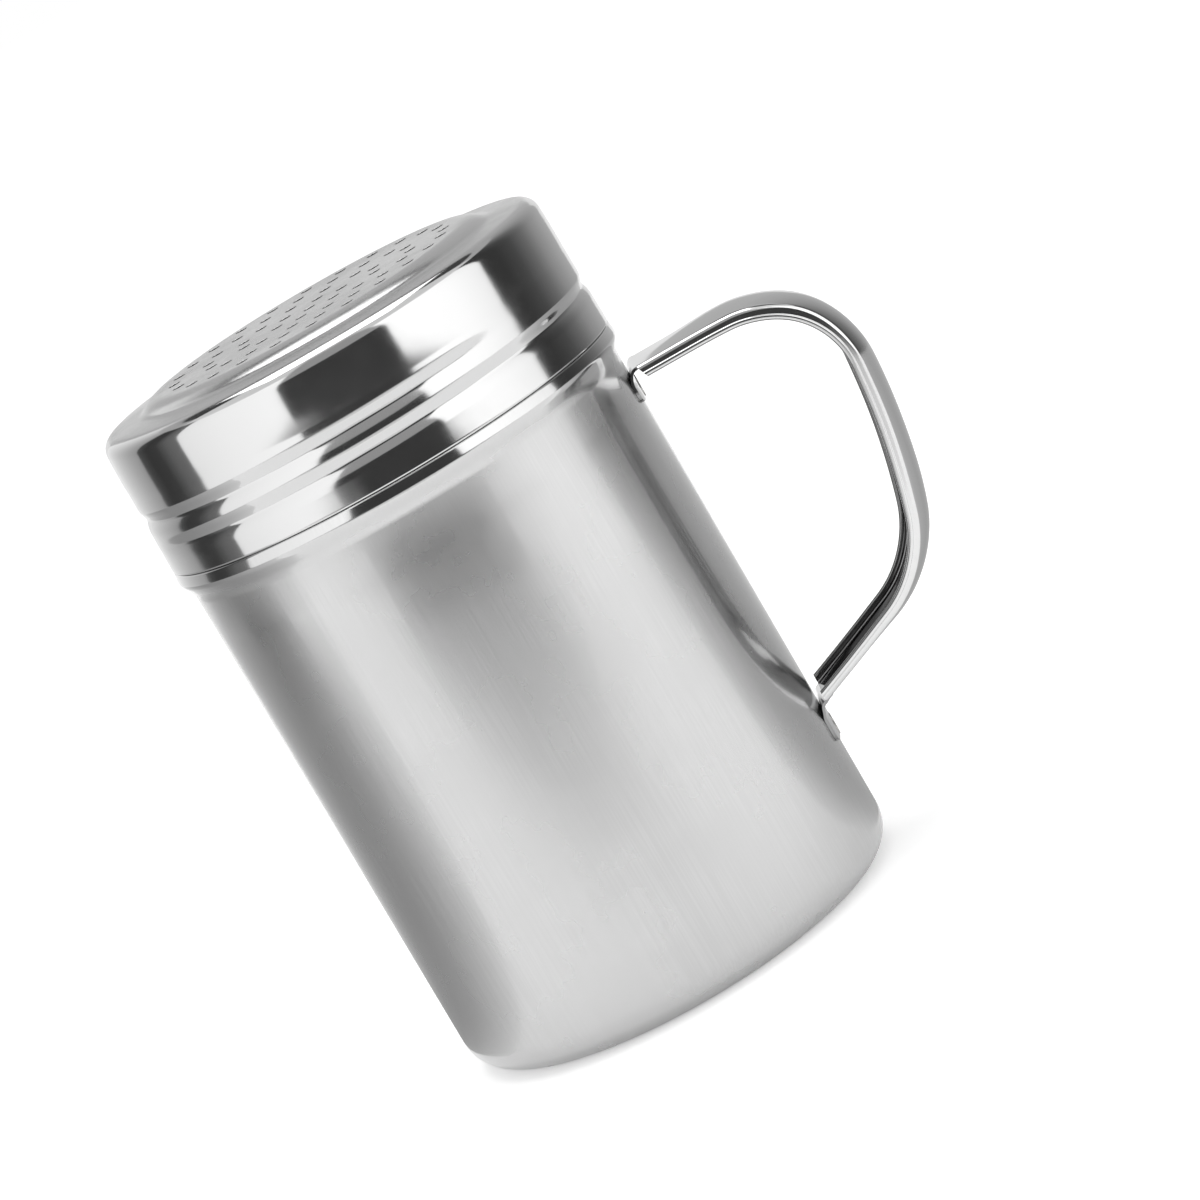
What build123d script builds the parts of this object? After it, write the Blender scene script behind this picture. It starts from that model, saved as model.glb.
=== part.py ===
"""Spice shaker: a drawn steel cup, a perforated screw lid and a welded loop handle.

Millimetres, +Z up.  The origin is on the table under the middle of the cup,
and the handle stands out along +X.
"""
import os
from math import copysign

from build123d import *

# Cup: one drawn sheet with a flat base, a bead under the lid and a narrower neck.
cup_radius = 34.0
cup_sheet = 0.5
base_corner_radius = 5.1
wall_height = 80.3              # from the table to where the wall flares out
bead_flare_height = 2.2
bead_height = 4.05              # from the flare to the ledge on top of the bead
bead_stand_out = 1.3
flare_blend_radius = 3.0
bead_lower_radius = 1.6
bead_upper_radius = 0.8
neck_set_in = 0.75
neck_height = 18.65
neck_foot_radius = 0.6

# Lid: one pressed sheet, a hemmed skirt below and a raised, dished disc on top.
lid_sheet = 0.5
hem_clearance = 0.3             # between the cup's ledge and the lid's hem
hem_height = 2.5
skirt_flare = 0.13              # hem radius over the radius at the thread
skirt_draft = 0.3               # hem radius over the radius at the rim
rim_rise = 1.85                 # from the cup's mouth to the rim's corner
rim_radius = 2.2
slope_foot_rise = 0.5
slope_foot_inset = 7.05         # from the rim in to the foot of the slope
slope_foot_radius = 2.0
slope_width = 1.8
disc_rise = 1.4
disc_edge_radius = 3.0
disc_dish = 0.2                 # how far the middle lies below the disc's edge

# Sprinkling holes: one in the middle and rings of six, twelve and so on.
hole_diameter = 1.9
hole_ring_pitch = 5.4
hole_ring_count = 4
hole_start_angle = 17.1

# Rolled screw thread, right-handed: a groove in the skirt, a bead on the neck.
thread_pitch = 3.9
thread_turns = 1.3
thread_clearance = 0.2          # between the crests of the two threads
thread_foot_height = 4.25       # from the ledge to the groove's lower end
thread_start_angle = -171.7
groove_depth = 0.47
groove_radius = 1.6
neck_thread_height = 0.5
neck_thread_radius = 1.3

# Handle: a steel strip with two hemmed flanges, folded round to the grip.
strip_width = 12.0
strip_sheet = 0.6
strip_corner_radius = 0.9
flange_depth = 2.2
flange_hem_radius = 0.45
upper_setback = 1.45            # from the cup's wall to the ends of the flanges
upper_end_slant = 22.0          # how far the upper ends lean from upright, in degrees
lower_setback = 1.3
grip_bow = 0.8                  # how far the web is bowed outwards at the grip
root_bow = 0.05
bow_run = 10.0                  # from the cup's wall to where the bow is full
upper_root_drop = 2.6           # from the flare down to the upper arm
upper_arm_length = 15.5
upper_bend_radius = 15.4
upper_bend_angle = 91.8
grip_radius = 87.6
grip_angle = 14.7
lower_bend_radius = 19.15
lower_bend_angle = 52.85
tab_length = 6.0
tab_corner_radius = 1.5
tab_fold_radius = 0.6           # inside of the fold between strip and tab

# Spot welds: one fused nugget through each tab, into the cup's wall.
weld_diameter = 3.4
weld_dimple = 0.1               # how far the nugget's face lies below the tab's
weld_depth = 0.25               # how far it reaches into the wall

# Heights and radii that follow.
ledge_height = wall_height + bead_height
mouth_height = ledge_height + neck_height
bead_radius = cup_radius + bead_stand_out
neck_radius = cup_radius - neck_set_in
groove_floor_radius = neck_radius + neck_thread_height + thread_clearance + lid_sheet
skirt_radius = groove_floor_radius + groove_depth + skirt_flare
hem_bottom = ledge_height + hem_clearance
hem_middle = hem_bottom + lid_sheet
rim_height = mouth_height + rim_rise
slope_foot_height = rim_height + slope_foot_rise
disc_height = slope_foot_height + disc_rise
rim_corner = skirt_radius - skirt_draft
slope_foot = rim_corner - slope_foot_inset
disc_edge = slope_foot - slope_width
thread_height = thread_pitch * thread_turns
groove_foot = ledge_height + thread_foot_height
upper_arm_height = wall_height - upper_root_drop
tab_face = cup_radius + strip_sheet
weld_drop = (tab_length + tab_fold_radius + strip_sheet) / 2
weld_foot = cup_radius - weld_depth

os.makedirs("parts", exist_ok=True)


def thread_path(radius, foot_height):
    """Right-hand helix about the Z axis for the middle of a rounded thread."""
    turn = Location((0, 0, foot_height), (0, 0, thread_start_angle))
    return turn * Helix(thread_pitch, thread_height, radius, mode=Mode.PRIVATE)


def thread_section(plane, round_radius, flat_offset, sides):
    """The part of a circle beyond flat_offset, whole or only its upper half."""
    crest_offset = copysign(round_radius, flat_offset)
    with BuildSketch(plane) as section:
        Circle(round_radius)
        with Locations(((flat_offset + crest_offset) / 2, 0)):
            Rectangle(
                abs(crest_offset - flat_offset),
                2 * round_radius,
                align=(Align.CENTER, sides),
                mode=Mode.INTERSECT,
            )
    return section.sketch


def rolled_thread(path, round_radius, flat_radius, mode):
    """Sweep the side of a circle that lies beyond flat_radius, and round both ends."""
    for end in (0, 1):
        centre = path @ end
        across = Vector(centre.X, centre.Y, 0)
        flat_offset = flat_radius - across.length
        plane = Plane(origin=centre, x_dir=across, z_dir=path % end)
        half_section = thread_section(plane, round_radius, flat_offset, Align.MIN)
        revolve(half_section, Axis(centre, across), mode=mode)
        if end == 0:
            full_section = thread_section(plane, round_radius, flat_offset, Align.CENTER)
            sweep(full_section, path=path, is_frenet=True, mode=mode)


def channel_section(station, heading, bow):
    """The strip's section: a bowed web and two flanges with a round hem each."""
    plane = Plane(origin=station, x_dir=heading.cross(Vector(0, 1, 0)), z_dir=heading)
    half_width = strip_width / 2
    hem_inset = half_width - strip_sheet / 2
    flange_foot = -bow / 2 - flange_depth + flange_hem_radius
    with BuildSketch(plane) as section:
        with BuildLine() as sheet_line:
            Line((flange_foot, -half_width), (-bow / 2, -half_width))
            ThreePointArc((-bow / 2, -half_width), (bow / 2, 0), (-bow / 2, half_width))
            Line((-bow / 2, half_width), (flange_foot, half_width))
            fillet(sheet_line.vertices().group_by(Axis.X)[-1], strip_corner_radius)
            offset(amount=strip_sheet, side=Side.LEFT, closed=True)
        make_face()
        with Locations((flange_foot, -hem_inset), (flange_foot, hem_inset)):
            Circle(flange_hem_radius)
    return section.sketch


def folded_tab(corner_height, heading, end_plane):
    """The end of the strip, folded down flat against the cup's wall."""
    arm_start = (cup_radius - tab_length * heading.X, corner_height - tab_length * heading.Z)
    with BuildPart() as tab:
        with BuildSketch(Plane.XZ):
            with BuildLine():
                FilletPolyline(
                    arm_start,
                    (cup_radius, corner_height),
                    (cup_radius, corner_height - tab_length),
                    radius=tab_fold_radius + strip_sheet,
                )
                offset(amount=strip_sheet, side=Side.LEFT, closed=True)
            make_face()
        extrude(amount=strip_width / 2, both=True)
        split(bisect_by=end_plane, keep=Keep.BOTTOM)
        fillet(tab.edges().filter_by(Axis.X).group_by(Axis.Z)[0], tab_corner_radius)
        with BuildSketch(Plane.YZ.offset(cup_radius)):
            with Locations((0, corner_height - weld_drop)):
                Circle(weld_diameter / 2)
        extrude(amount=strip_sheet, mode=Mode.SUBTRACT)
    return tab.part


def arm_root(sections, end_plane):
    """The stretch of an arm where the bow grows, cut off at the flanges' ends."""
    with BuildPart() as root:
        loft(sections)
        split(bisect_by=end_plane)
    return root.part


def spot_weld(height):
    """A fused nugget from the cup's wall to just below the tab's outer face."""
    with BuildPart() as weld:
        with BuildSketch(Plane.YZ.offset(weld_foot)):
            with Locations((0, height)):
                Circle(weld_diameter / 2)
        extrude(amount=tab_face - weld_dimple - weld_foot)
    return weld


# ---------------------------------------------------------------- handle's line
with BuildLine(Plane.XZ):
    upper_arm = Line(
        (cup_radius, upper_arm_height), (cup_radius + upper_arm_length, upper_arm_height)
    )
    upper_bend = JernArc(upper_arm @ 1, upper_arm % 1, upper_bend_radius, -upper_bend_angle)
    grip = JernArc(upper_bend @ 1, upper_bend % 1, grip_radius, -grip_angle)
    lower_bend = JernArc(grip @ 1, grip % 1, lower_bend_radius, -lower_bend_angle)
    lower_heading = lower_bend % 1
    lower_arm_length = ((lower_bend @ 1).X - cup_radius) / -lower_heading.X
    lower_arm = Line(lower_bend @ 1, lower_bend @ 1 + lower_heading * lower_arm_length)

upper_corner_height = upper_arm_height
lower_corner_height = (lower_arm @ 1).Z - strip_sheet / lower_heading.X
weld_heights = (upper_corner_height - weld_drop, lower_corner_height - weld_drop)
upper_end_plane = Plane(
    (cup_radius + upper_setback, 0, upper_arm_height),
    z_dir=Vector(1, 0, 0).rotate(Axis.Y, -upper_end_slant),
)
lower_end_plane = Plane.YZ.offset(cup_radius + lower_setback)

# ---------------------------------------------------------------- cup
neck_thread_path_radius = neck_radius + neck_thread_height - neck_thread_radius
neck_thread_path = thread_path(neck_thread_path_radius, groove_foot + thread_pitch / 2)

with BuildPart() as cup:
    with BuildSketch(Plane.XZ):
        with BuildLine():
            FilletPolyline(
                (0, 0),
                (cup_radius, 0),
                (cup_radius, wall_height),
                (bead_radius, wall_height + bead_flare_height),
                (bead_radius, ledge_height),
                (neck_radius, ledge_height),
                (neck_radius, mouth_height),
                radius=[
                    base_corner_radius,
                    flare_blend_radius,
                    bead_lower_radius,
                    bead_upper_radius,
                    neck_foot_radius,
                ],
            )
            offset(amount=cup_sheet, side=Side.LEFT, closed=True)
        make_face()
    revolve(axis=Axis.Z)
    wall_middle = neck_radius - cup_sheet / 2
    rolled_thread(neck_thread_path, neck_thread_radius, wall_middle, Mode.ADD)
    hollow_radius = neck_thread_radius - cup_sheet
    hollow_flat = neck_thread_path_radius + hollow_radius / 8
    rolled_thread(neck_thread_path, hollow_radius, hollow_flat, Mode.SUBTRACT)
    with BuildSketch(Plane.YZ.offset(weld_foot)):
        with Locations(*[(0, height) for height in weld_heights]):
            Circle(weld_diameter / 2)
    extrude(amount=2 * weld_depth, mode=Mode.SUBTRACT)

# ---------------------------------------------------------------- lid
groove_path = thread_path(groove_floor_radius + groove_radius, groove_foot)

with BuildPart() as lid:
    with BuildSketch(Plane.XZ):
        with BuildLine():
            FilletPolyline(
                (0, disc_height - disc_dish),
                (disc_edge, disc_height),
                (slope_foot, slope_foot_height),
                (rim_corner, rim_height),
                (skirt_radius, hem_middle),
                radius=[disc_edge_radius, slope_foot_radius, rim_radius],
            )
            offset(amount=lid_sheet, side=Side.RIGHT, closed=True)
        make_face()
        with Locations((skirt_radius - lid_sheet, hem_middle)):
            Circle(lid_sheet)
            Rectangle(lid_sheet, hem_height - lid_sheet, align=(Align.MAX, Align.MIN))
    revolve(axis=Axis.Z)
    rolled_thread(
        groove_path, groove_radius + lid_sheet, skirt_radius - lid_sheet / 2, Mode.ADD
    )
    rolled_thread(groove_path, groove_radius, skirt_radius + lid_sheet, Mode.SUBTRACT)
    with BuildSketch(Plane.XY.offset(slope_foot_height - lid_sheet)):
        Circle(hole_diameter / 2)
        for ring in range(1, hole_ring_count + 1):
            with PolarLocations(ring * hole_ring_pitch, 6 * ring, start_angle=hole_start_angle):
                Circle(hole_diameter / 2)
    extrude(amount=disc_rise + 2 * lid_sheet, mode=Mode.SUBTRACT)

# ---------------------------------------------------------------- handle
upper_full_bow = upper_arm.position_at(bow_run, position_mode=PositionMode.LENGTH)
lower_full_bow = lower_arm.position_at(lower_arm_length - bow_run, position_mode=PositionMode.LENGTH)
upper_sections = [
    channel_section(upper_arm @ 0, upper_arm % 0, root_bow),
    channel_section(upper_full_bow, upper_arm % 0, grip_bow),
]
lower_sections = [
    channel_section(lower_full_bow, lower_heading, grip_bow),
    channel_section(lower_arm @ 1, lower_heading, root_bow),
]

with BuildPart() as handle:
    with BuildLine():
        Line(upper_full_bow, upper_arm @ 1)
        add(upper_bend)
        add(grip)
        add(lower_bend)
        Line(lower_arm @ 0, lower_full_bow)
    sweep(upper_sections[1])
    add(arm_root(upper_sections, upper_end_plane))
    add(arm_root(lower_sections, lower_end_plane))
    add(folded_tab(upper_corner_height, (upper_arm % 0) * -1, upper_end_plane))
    add(folded_tab(lower_corner_height, lower_heading, lower_end_plane))

# ---------------------------------------------------------------- spot welds
upper_spot_weld, lower_spot_weld = [spot_weld(height) for height in weld_heights]

pieces = {
    "cup": cup,
    "lid": lid,
    "handle": handle,
    "upper_spot_weld": upper_spot_weld,
    "lower_spot_weld": lower_spot_weld,
}
for name, piece in pieces.items():
    piece.part.label = name
    export_step(piece.part, f"parts/{name}.step")
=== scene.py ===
"""A steel spice shaker on a white table: the pressed lid, the drawn cup and the welded handle."""
import math

import bmesh
import bpy
from mathutils import Matrix, Vector, noise


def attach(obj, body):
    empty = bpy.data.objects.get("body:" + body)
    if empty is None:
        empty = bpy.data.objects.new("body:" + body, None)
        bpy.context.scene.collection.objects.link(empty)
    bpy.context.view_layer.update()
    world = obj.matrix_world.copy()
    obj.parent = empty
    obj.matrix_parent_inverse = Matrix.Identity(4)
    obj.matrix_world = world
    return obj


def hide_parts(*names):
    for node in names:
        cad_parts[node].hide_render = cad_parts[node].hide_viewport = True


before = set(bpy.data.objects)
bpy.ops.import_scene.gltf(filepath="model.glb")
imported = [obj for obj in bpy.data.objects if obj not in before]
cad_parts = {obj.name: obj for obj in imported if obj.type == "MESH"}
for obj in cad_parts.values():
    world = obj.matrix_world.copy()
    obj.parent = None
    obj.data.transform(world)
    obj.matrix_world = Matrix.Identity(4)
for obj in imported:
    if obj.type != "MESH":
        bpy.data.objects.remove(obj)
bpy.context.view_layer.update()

MM = 0.001
TAU = 2 * math.pi

# ---------------------------------------------------------------- sizes, in millimetres
# Cup
CUP_RADIUS = 34.0
CUP_SHEET = 0.5
BASE_CORNER = 5.1
WALL_HEIGHT = 80.3
BEAD_RADIUS = 35.3
BEAD_FLARE_HEIGHT = 82.5
BEAD_TOP_RADIUS = 35.0
LEDGE_HEIGHT = 84.35
NECK_RADIUS = 33.25
MOUTH_HEIGHT = 103.0
FLARE_BLEND = 3.0               # outside radii along the cup's line
BEAD_LOWER_ROUND = 1.6
BEAD_UPPER_ROUND = 0.3
NECK_FOOT_ROUND = 0.6
SHARP_BEND = 0.2                # the tightest bend in the sheet
BEAD_INSIDE_RISE = 0.15         # how much higher the flare and the bead lie inside
NECK_PLAIN_FOOT = 1.0           # the neck is plain this far from its foot
NECK_PLAIN_TOP = 0.5            # and this far from its mouth
# Lid
LID_SHEET = 0.5
HEM_BOTTOM = 84.4
HEM_TOP = 87.15
HEM_RADIUS = 35.05
HEM_FOLD = 0.3                  # outside radius of the flattened fold
RIM_RADIUS = 34.6
RIM_HEIGHT = 104.85
SLOPE_FOOT = (27.85, 105.35)
DISC_EDGE = (25.75, 106.75)
DISC_MIDDLE_HEIGHT = 106.55
RIM_ROUND = 2.2                 # outside radii along the lid's line
SLOPE_FOOT_ROUND = 2.2
DISC_EDGE_ROUND = 6.0
RIM_ROUND_INSIDE = 1.7
SLOPE_FOOT_ROUND_INSIDE = 3.0
DISC_EDGE_ROUND_INSIDE = 3.5
SLOPE_INSIDE_SHIFT = 0.2        # how much further in the slope lies on the underside
HEM_GAP = 0.03                  # between the wall and the hem folded up inside it
PLATE_RADIUS = 23.6             # the perforated part of the disc
HOLE_RADIUS = 0.95
HOLE_ROLL = 0.05                # the rolled edge round each hole
HOLE_FLAT = 0.12                # a flat ring round that edge
HOLE_RING_PITCH = 5.4
HOLE_RINGS = 4
HOLE_START = math.radians(17.1)
HOLE_STEPS = 24                 # faces round a hole
HOLE_ROLL_STEPS = 4             # and over its rolled edge
# Screw thread
THREAD_PITCH = 3.9
THREAD_TURNS = 1.36
THREAD_START = math.radians(-171.7)
THREAD_FOOT = 88.6
THREAD_FADE = math.radians(42)
THREAD_DEPTH = 0.47
THREAD_ABOVE = 2.0              # how far the groove reaches above its deepest line
THREAD_BELOW = 1.9              # and below it, where it runs out in a gentle arc
NECK_THREAD_HEIGHT = 0.5
WALL_BARREL = 0.07              # the lid's wall is a little bellied between rim and thread
BARREL_MIDDLE = 99.8
BARREL_REACH = 3.55
SHEET_WAVE = 0.018              # low waves that pressing leaves in the sheet
WAVE_LENGTH = 9.0
RIM_PLAIN = 1.5                 # the wall is left plain this far below the rim's corner
WAVE_EASE = 2.0                 # over which the waves fade in from the wall's two ends
# Handle
STRIP_HALF_WIDTH = 6.0
STRIP_SHEET = 0.5
FLANGE_CORNER = 0.75            # largest outside radius between web and flange
HEM_HEIGHT = 0.85               # the rolled hem along each flange
HEM_WIDTH = 0.8
HEM_STAND_OUT = 0.18            # how far the hem stands out of the flange's face
CORNER_MARGIN = 0.12            # flat left between the flange's corner and the crease
CREASE_ROUND = 0.16
HEM_SHOULDER_DROP = 0.12        # from the crease down to the hem's shoulder
HEM_SHOULDER_ROUND = 0.22
HEM_FOOT_ROUND = 0.36
INNER_CREASE_ROUND = 0.1
INNER_CREASE_DROP = 0.05        # from the crease down to where the hem turns back inside
INNER_CREASE_RISE = 0.08        # and up to where it meets the flange
INNER_CORNER = 0.35
WEB_STEPS = 8                   # faces across half of the web
SECTION_ARC_STEPS = 6
HANDLE_START = (34.0, 77.7)
# The handle's line: a length, or a radius and the degrees it turns down.
HANDLE_LINE = ((15.5, 0), (15.4, 91.8), (87.6, 14.7), (19.15, 52.85), (16.8, 0))
HANDLE_LENGTH = 97.1
# At distances along that line: how far outside it the corner lies, how far the web bows out
# from corner to corner, and where the crease over the hem lies.
HANDLE_STATIONS = (
    (0.0, -0.20, 0.00, -1.35),
    (3.0, -0.20, 0.05, -1.35),
    (13.0, -0.40, 1.05, -1.42),
    (20.0, -0.70, 1.20, -1.80),
    (27.0, -0.85, 1.45, -1.98),
    (35.0, -1.60, 1.90, -2.40),
    (41.0, -1.95, 2.15, -2.80),
    (50.0, -2.10, 2.20, -3.00),
    (60.0, -2.20, 2.30, -3.05),
    (70.0, -2.05, 1.78, -2.88),
    (80.0, -1.62, 1.12, -2.42),
    (88.0, -1.28, 0.58, -2.08),
    (94.0, -1.02, 0.05, -1.94),
    (98.0, -0.85, 0.00, -1.90),
)
UPPER_SETBACK = 1.45            # from the wall to the ends of the flanges
UPPER_SLANT = 0.42              # how far the upper ends lean away, per millimetre of depth
LOWER_SETBACK = 1.5
LOWER_SLANT = 0.377
SLANT_RUN = 4.0                 # how far along the handle the slant is taken up
UPPER_SLANT_DEPTH = 0.4         # below this depth the upper ends lean
LOWER_SLANT_DEPTH = 1.0         # about this depth the lower ends lean
HANDLE_STEPS = 150
# Each tab's two sides: where it starts in the strip, its fold and its foot.
UPPER_TAB = (
    ((36.4, 77.47), (34.03, 77.47), (34.03, 72.5)),
    ((36.4, 77.01), (34.43, 77.01), (34.43, 72.5)),
)
LOWER_TAB = (
    ((36.4, 23.64), (34.03, 22.75), (34.03, 16.9)),
    ((36.4, 23.15), (34.43, 22.41), (34.43, 16.9)),
)
FOLD_RADIUS = 0.8               # inside of the fold between strip and tab
TAB_SHEET = 0.40
TAB_CORNER = 1.5
TAB_TONGUE_START = 35.2         # from here out the tab lies in the web and is narrower by
TAB_TONGUE_INSET = 0.65
TAB_TONGUE_EASE = 0.5
TAB_SIDE_GAP = 0.05             # how much narrower than the strip a tab is at each side
TAB_PRESS_START = 0.4           # how far below its fold a tab starts to follow the wall's curve
TAB_PRESS_RUN = 2.0
TAB_COLUMNS = 12                # faces across half of a tab
SECTION_POINTS = 72             # points in half of the strip's section
POINTS_WITHOUT_SHADE = 31            # of these, from the middle out, those left clear of the painted shade; the rest, round the hems and inside the channel, are painted dark as shade

# How fine the meshes are: faces round the cup and the lid, and the longest step along their lines.
COLUMNS = 360
CUP_STEP = 6.0
NECK_STEP = 0.45
LID_TOP_STEP = 1.0
LID_WALL_STEP = 0.18
LID_WALL_INSIDE_STEP = 0.45
TAB_STEP = 0.4
TALL = 5.0                      # a stretch of the lid's line that rises more than this is its wall
LID_EDGE_ANGLE = math.radians(50)
HANDLE_EDGE_ANGLE = math.radians(40)


# ---------------------------------------------------------------- camera
CAMERA_AZIMUTH = math.radians(3.3)
CAMERA_ELEVATION = math.radians(10.4)
CAMERA_ROLL = math.radians(-30.24)
CAMERA_DISTANCE = 0.7
CAMERA_LENS = 149.04
AIM_ASIDE = 14.44 * MM
AIM_HEIGHT = 50.26 * MM


def toward_camera(azimuth, elevation=0.0):
    """Unit vector at an azimuth counted from the camera's side, and an elevation."""
    turned = CAMERA_AZIMUTH + azimuth
    flat = math.cos(elevation)
    return Vector((math.sin(turned) * flat, -math.cos(turned) * flat, math.sin(elevation)))


def make_camera():
    """The camera, rolled so that the upright shaker leans to the left in the picture."""
    back = toward_camera(0, CAMERA_ELEVATION)
    level = Vector((math.cos(CAMERA_AZIMUTH), math.sin(CAMERA_AZIMUTH), 0))
    lift = back.cross(level)
    right = math.cos(CAMERA_ROLL) * level + math.sin(CAMERA_ROLL) * lift
    up = back.cross(right)
    aim = level * AIM_ASIDE + Vector((0, 0, AIM_HEIGHT))
    data = bpy.data.cameras.new("camera")
    data.lens = CAMERA_LENS
    data.sensor_width = 36
    data.clip_start = 0.01
    camera = bpy.data.objects.new("camera", data)
    bpy.context.collection.objects.link(camera)
    turn = Matrix((right, up, back)).transposed().to_4x4()
    camera.matrix_world = Matrix.Translation(aim + back * CAMERA_DISTANCE) @ turn
    bpy.context.scene.camera = camera


make_camera()


# ---------------------------------------------------------------- mesh helpers
def finish_mesh(bm, name, smooth_angle=None):
    """Turn a bmesh in millimetres into an object in metres with smooth faces."""
    bmesh.ops.remove_doubles(bm, verts=bm.verts, dist=1e-4)
    bmesh.ops.recalc_face_normals(bm, faces=bm.faces)
    bmesh.ops.scale(bm, vec=(MM, MM, MM), verts=bm.verts)
    mesh = bpy.data.meshes.new(name)
    bm.to_mesh(mesh)
    bm.free()
    mesh.shade_smooth()
    if smooth_angle is not None:
        mesh.set_sharp_from_angle(angle=smooth_angle)
    obj = bpy.data.objects.new(name, mesh)
    bpy.context.collection.objects.link(obj)
    return obj


def rounded_line(corners, even=None):
    """Points along a line of (x, z, radius) corners, each rounded in even or in fitting steps."""
    points = []
    for index, (x, z, radius) in enumerate(corners):
        corner = Vector((x, z))
        if radius == 0:
            points.append(corner)
            continue
        before = (Vector(corners[index - 1][:2]) - corner).normalized()
        after = (Vector(corners[index + 1][:2]) - corner).normalized()
        opening = before.angle(after)
        reach = radius / math.tan(opening / 2)
        centre = corner + (before + after).normalized() * radius / math.sin(opening / 2)
        start = corner + before * reach - centre
        sweep = math.pi - opening
        steps = even or max(3, math.ceil(sweep / math.radians(8)))
        turn = 1 if start.cross(corner + after * reach - centre) > 0 else -1
        for k in range(steps + 1):
            points.append(centre + Matrix.Rotation(turn * sweep * k / steps, 2) @ start)
    return points


def densified(points, step):
    """The same line, with its longer stretches divided into equal short ones."""
    dense = [points[0]]
    for start, end in zip(points, points[1:]):
        parts = max(1, math.ceil((end - start).length / step))
        for k in range(1, parts + 1):
            dense.append(start.lerp(end, k / parts))
    return dense


def spin_line(bm, points):
    """Spin a line of (radius, height) points round the Z axis: an eighth, then doubled three times."""
    verts = [bm.verts.new((point.x, 0, point.y)) for point in points]
    edges = [bm.edges.new(pair) for pair in zip(verts, verts[1:])]
    bmesh.ops.spin(
        bm,
        geom=verts + edges,
        cent=(0, 0, 0),
        axis=(0, 0, 1),
        angle=TAU / 8,
        steps=COLUMNS // 8,
    )
    for eighths in (1, 2, 4):
        made = bmesh.ops.duplicate(bm, geom=bm.verts[:] + bm.edges[:] + bm.faces[:])["geom"]
        copies = [item for item in made if isinstance(item, bmesh.types.BMVert)]
        turn = Matrix.Rotation(TAU * eighths / 8, 3, "Z")
        bmesh.ops.rotate(bm, verts=copies, cent=(0, 0, 0), matrix=turn)


def smooth_step(value):
    """Ease from 0 to 1."""
    value = min(max(value, 0.0), 1.0)
    return value * value * (3 - 2 * value)


def thread_share(angle, height, lift=0.0):
    """How deep the rolled thread is at a place on the wall, from 0 beside it to 1 at its deepest."""
    deepest = 0.0
    length = TAU * THREAD_TURNS
    for turn in (0, 1):
        along = angle - THREAD_START + TAU * turn
        if not 0 < along < length:
            continue
        above = height - (THREAD_FOOT + lift + THREAD_PITCH * along / TAU)
        fade = smooth_step(along / THREAD_FADE) * smooth_step((length - along) / THREAD_FADE)
        if 0 <= above < THREAD_ABOVE:
            deepest = max(deepest, fade * (0.5 + 0.5 * math.cos(math.pi * above / THREAD_ABOVE)))
        elif -THREAD_BELOW < above < 0:
            deepest = max(deepest, fade * (1 + above / THREAD_BELOW) ** 2)
    return deepest


def shift_outwards(vert, distance):
    """Move a point of a wall away from the Z axis."""
    radius = math.hypot(vert.co.x, vert.co.y)
    vert.co.x *= 1 + distance / radius
    vert.co.y *= 1 + distance / radius


def sheet_wave(place):
    """The low waves of a pressed sheet, from -1 to 1."""
    return noise.noise(place / WAVE_LENGTH)


# ---------------------------------------------------------------- cup
def build_cup():
    """The drawn cup as one sheet: base, wall, bead, ledge, and neck with its thread."""
    sheet = CUP_SHEET
    outside = rounded_line(
        [
            (0, 0, 0),
            (CUP_RADIUS, 0, BASE_CORNER),
            (CUP_RADIUS, WALL_HEIGHT, FLARE_BLEND),
            (BEAD_RADIUS, BEAD_FLARE_HEIGHT, BEAD_LOWER_ROUND),
            (BEAD_TOP_RADIUS, LEDGE_HEIGHT, BEAD_UPPER_ROUND),
            (NECK_RADIUS, LEDGE_HEIGHT, NECK_FOOT_ROUND),
            (NECK_RADIUS, MOUTH_HEIGHT, SHARP_BEND),
            (NECK_RADIUS - sheet, MOUTH_HEIGHT, SHARP_BEND),
            (NECK_RADIUS - sheet, LEDGE_HEIGHT - sheet, NECK_FOOT_ROUND + sheet),
            (BEAD_TOP_RADIUS - sheet, LEDGE_HEIGHT - sheet, SHARP_BEND),
            (BEAD_RADIUS - sheet, BEAD_FLARE_HEIGHT + BEAD_INSIDE_RISE, BEAD_LOWER_ROUND - sheet),
            (CUP_RADIUS - sheet, WALL_HEIGHT + BEAD_INSIDE_RISE, FLARE_BLEND - sheet),
            (CUP_RADIUS - sheet, sheet, BASE_CORNER - sheet),
            (0, sheet, 0),
        ]
    )
    outside = [p for a, b in zip(outside, outside[1:]) for p in row_points(a, b)] + [outside[-1]]
    bm = bmesh.new()
    spin_line(bm, outside)
    for vert in bm.verts:
        x, y, z = vert.co
        if LEDGE_HEIGHT + NECK_PLAIN_FOOT < z < MOUTH_HEIGHT - NECK_PLAIN_TOP:
            share = thread_share(math.atan2(y, x), z, THREAD_PITCH / 2)
            shift_outwards(vert, NECK_THREAD_HEIGHT * share)
    return finish_mesh(bm, "cup_shell")


def row_points(start, end):
    """Divide one stretch of the cup's line: finely on the neck, where the thread is."""
    on_neck = min(start.y, end.y) > LEDGE_HEIGHT - 1 and abs(start.x - end.x) < 1e-6
    step = NECK_STEP if on_neck else CUP_STEP
    return densified([start, end], step)[:-1]


# ---------------------------------------------------------------- lid
def disc_height(radius):
    """Height of the slightly dished disc's top at a radius."""
    return DISC_MIDDLE_HEIGHT + (DISC_EDGE[1] - DISC_MIDDLE_HEIGHT) * radius / DISC_EDGE[0]


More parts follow.
